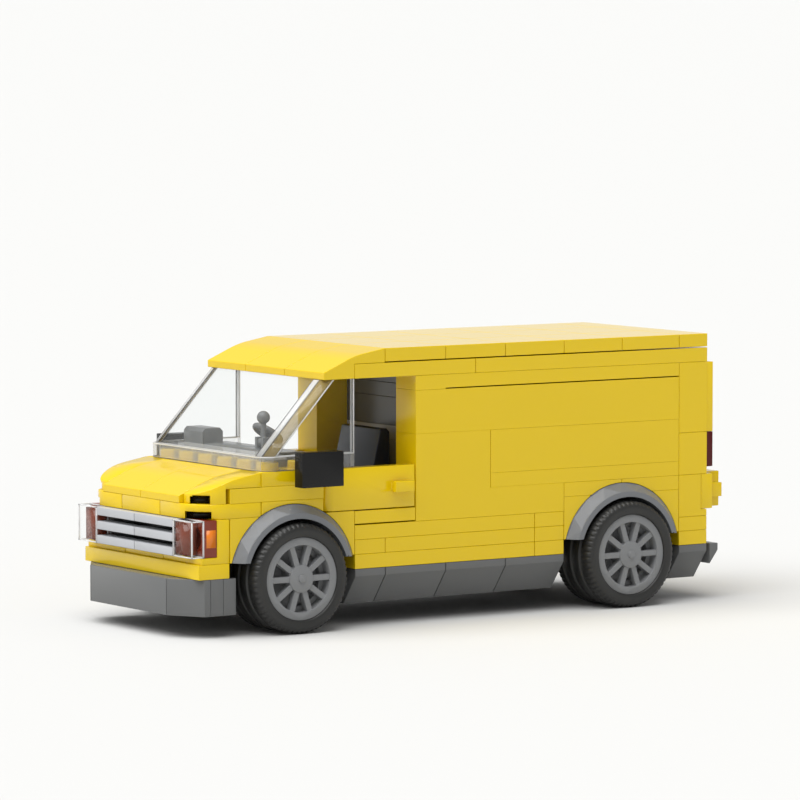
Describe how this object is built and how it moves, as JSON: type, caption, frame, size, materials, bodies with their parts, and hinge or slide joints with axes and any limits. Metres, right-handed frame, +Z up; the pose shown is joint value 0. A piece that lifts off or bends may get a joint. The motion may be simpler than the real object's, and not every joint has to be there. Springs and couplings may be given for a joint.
{
  "type": "toy mail delivery van",
  "caption": "Brick-built toy delivery van with opening cab and cargo doors, turning wheels, swivelling mirrors and a clear windscreen.",
  "frame": {"origin": "on the ground, below the middle of the van's overall box", "axes": "+Z up, +Y towards the rear of the van, +X towards the van's left side"},
  "size_m": [0.0606, 0.1456, 0.0608],
  "materials": {
    "yellow_plastic": "smooth moulded, glossy",
    "dark_grey_plastic": "smooth moulded, glossy",
    "arch_grey": "smooth moulded, glossy",
    "light_grey_plastic": "smooth moulded, glossy",
    "wheel_grey": "smooth moulded, satin",
    "black_plastic": "smooth moulded, glossy",
    "navy_plastic": "smooth moulded, glossy",
    "dark_red_plastic": "smooth moulded, glossy",
    "orange_clear": "tinted clear plastic",
    "clear_plastic": "clear plastic",
    "tyre_rubber": "matte rubber"
  },
  "bodies": {
    "van": {"chassis_frame": "black_plastic", "front_axle_carrier": "black_plastic", "rear_axle_carrier": "black_plastic", "front_arches": "arch_grey", "rear_arches": "arch_grey", "wheel_well_liners": "black_plastic", "skirt_brackets": "black_plastic", "side_skirt_slopes": "dark_grey_plastic", "front_bumper_plates": "dark_grey_plastic", "front_bumper_face": "dark_grey_plastic", "front_bumper_corners": "dark_grey_plastic", "rear_bumper_slopes": "dark_grey_plastic", "front_sill_plate": "yellow_plastic", "front_brackets": "yellow_plastic", "grille_tiles": "light_grey_plastic", "lamp_plates": "orange_clear", "headlight_lenses": "clear_plastic", "bonnet_base_plates": "yellow_plastic", "bonnet_slopes": "yellow_plastic", "bonnet_corner_slopes": "yellow_plastic", "front_arch_bricks": "yellow_plastic", "side_sill_plates": "yellow_plastic", "cowl_plates": "yellow_plastic", "cab_floor": "dark_grey_plastic", "cargo_floor": "light_grey_plastic", "dashboard": "dark_grey_plastic", "seat": "navy_plastic", "bulkhead_bricks": "dark_grey_plastic", "bulkhead_base": "light_grey_plastic", "windscreen": "clear_plastic", "door_hinge_pins": "black_plastic", "mirror_arms": "black_plastic", "cargo_wall_panels": "yellow_plastic", "cargo_wall_upper": "yellow_plastic", "rear_arch_bricks": "yellow_plastic", "rear_columns": "yellow_plastic", "rear_wall_bricks": "yellow_plastic", "rear_hinge_pins": "black_plastic", "tail_lights": "dark_red_plastic", "rear_corner_tiles": "yellow_plastic", "rear_crossbar": "yellow_plastic", "rear_step": "yellow_plastic", "roof_rim_plates": "yellow_plastic", "roof_panels": "yellow_plastic"},
    "front_left_wheel": {"front_left_rim": "wheel_grey", "front_left_tyre": "tyre_rubber"},
    "front_right_wheel": {"front_right_rim": "wheel_grey", "front_right_tyre": "tyre_rubber"},
    "rear_left_wheel": {"rear_left_rim": "wheel_grey", "rear_left_tyre": "tyre_rubber"},
    "rear_right_wheel": {"rear_right_rim": "wheel_grey", "rear_right_tyre": "tyre_rubber"},
    "left_cab_door": {"left_door": "yellow_plastic"},
    "right_cab_door": {"right_door": "yellow_plastic"},
    "left_rear_door": {"rear_left_door": "yellow_plastic"},
    "right_rear_door": {"rear_right_door": "yellow_plastic"},
    "left_mirror_head": {"left_mirror": "black_plastic"},
    "right_mirror_head": {"right_mirror": "black_plastic"},
    "steering": {"steering_wheel": "dark_grey_plastic"},
    "lever": {"control_lever": "dark_grey_plastic"}
  },
  "joints": [
    {"name": "front_left_wheel_spin", "type": "hinge", "parent": "van", "child": "front_left_wheel", "pos_m": [0.021, -0.0456, 0.012], "axis": [1, 0, 0], "continuous": true},
    {"name": "front_right_wheel_spin", "type": "hinge", "parent": "van", "child": "front_right_wheel", "pos_m": [-0.021, -0.0456, 0.012], "axis": [1, 0, 0], "continuous": true},
    {"name": "rear_left_wheel_spin", "type": "hinge", "parent": "van", "child": "rear_left_wheel", "pos_m": [0.021, 0.0424, 0.012], "axis": [1, 0, 0], "continuous": true},
    {"name": "rear_right_wheel_spin", "type": "hinge", "parent": "van", "child": "rear_right_wheel", "pos_m": [-0.021, 0.0424, 0.012], "axis": [1, 0, 0], "continuous": true},
    {"name": "left_cab_door_hinge", "type": "hinge", "parent": "van", "child": "left_cab_door", "pos_m": [0.0214, -0.03495, 0.0304], "axis": [0, 0, -1], "range_deg": [0, 50]},
    {"name": "right_cab_door_hinge", "type": "hinge", "parent": "van", "child": "right_cab_door", "pos_m": [-0.0214, -0.03495, 0.0304], "axis": [0, 0, 1], "range_deg": [0, 50]},
    {"name": "left_rear_door_hinge", "type": "hinge", "parent": "van", "child": "left_rear_door", "pos_m": [0.01435, 0.0648, 0.0416], "axis": [0, 0, -1], "range_deg": [0, 90]},
    {"name": "right_rear_door_hinge", "type": "hinge", "parent": "van", "child": "right_rear_door", "pos_m": [-0.01435, 0.0648, 0.0416], "axis": [0, 0, 1], "range_deg": [0, 90]},
    {"name": "left_mirror_swivel", "type": "hinge", "parent": "van", "child": "left_mirror_head", "pos_m": [0.0262, -0.04184, 0.0352], "axis": [0, 0, -1], "range_deg": [-5, 20]},
    {"name": "right_mirror_swivel", "type": "hinge", "parent": "van", "child": "right_mirror_head", "pos_m": [-0.0262, -0.04184, 0.0352], "axis": [0, 0, 1], "range_deg": [-5, 20]},
    {"name": "steering_spin", "type": "hinge", "parent": "van", "child": "steering", "pos_m": [0, -0.03872, 0.0384], "axis": [0, 0.5736, 0.8192], "continuous": true},
    {"name": "lever_tilt", "type": "hinge", "parent": "van", "child": "lever", "pos_m": [0.0058, -0.0416, 0.0399], "axis": [1, 0, 0], "range_deg": [-25, 5]}
  ]
}
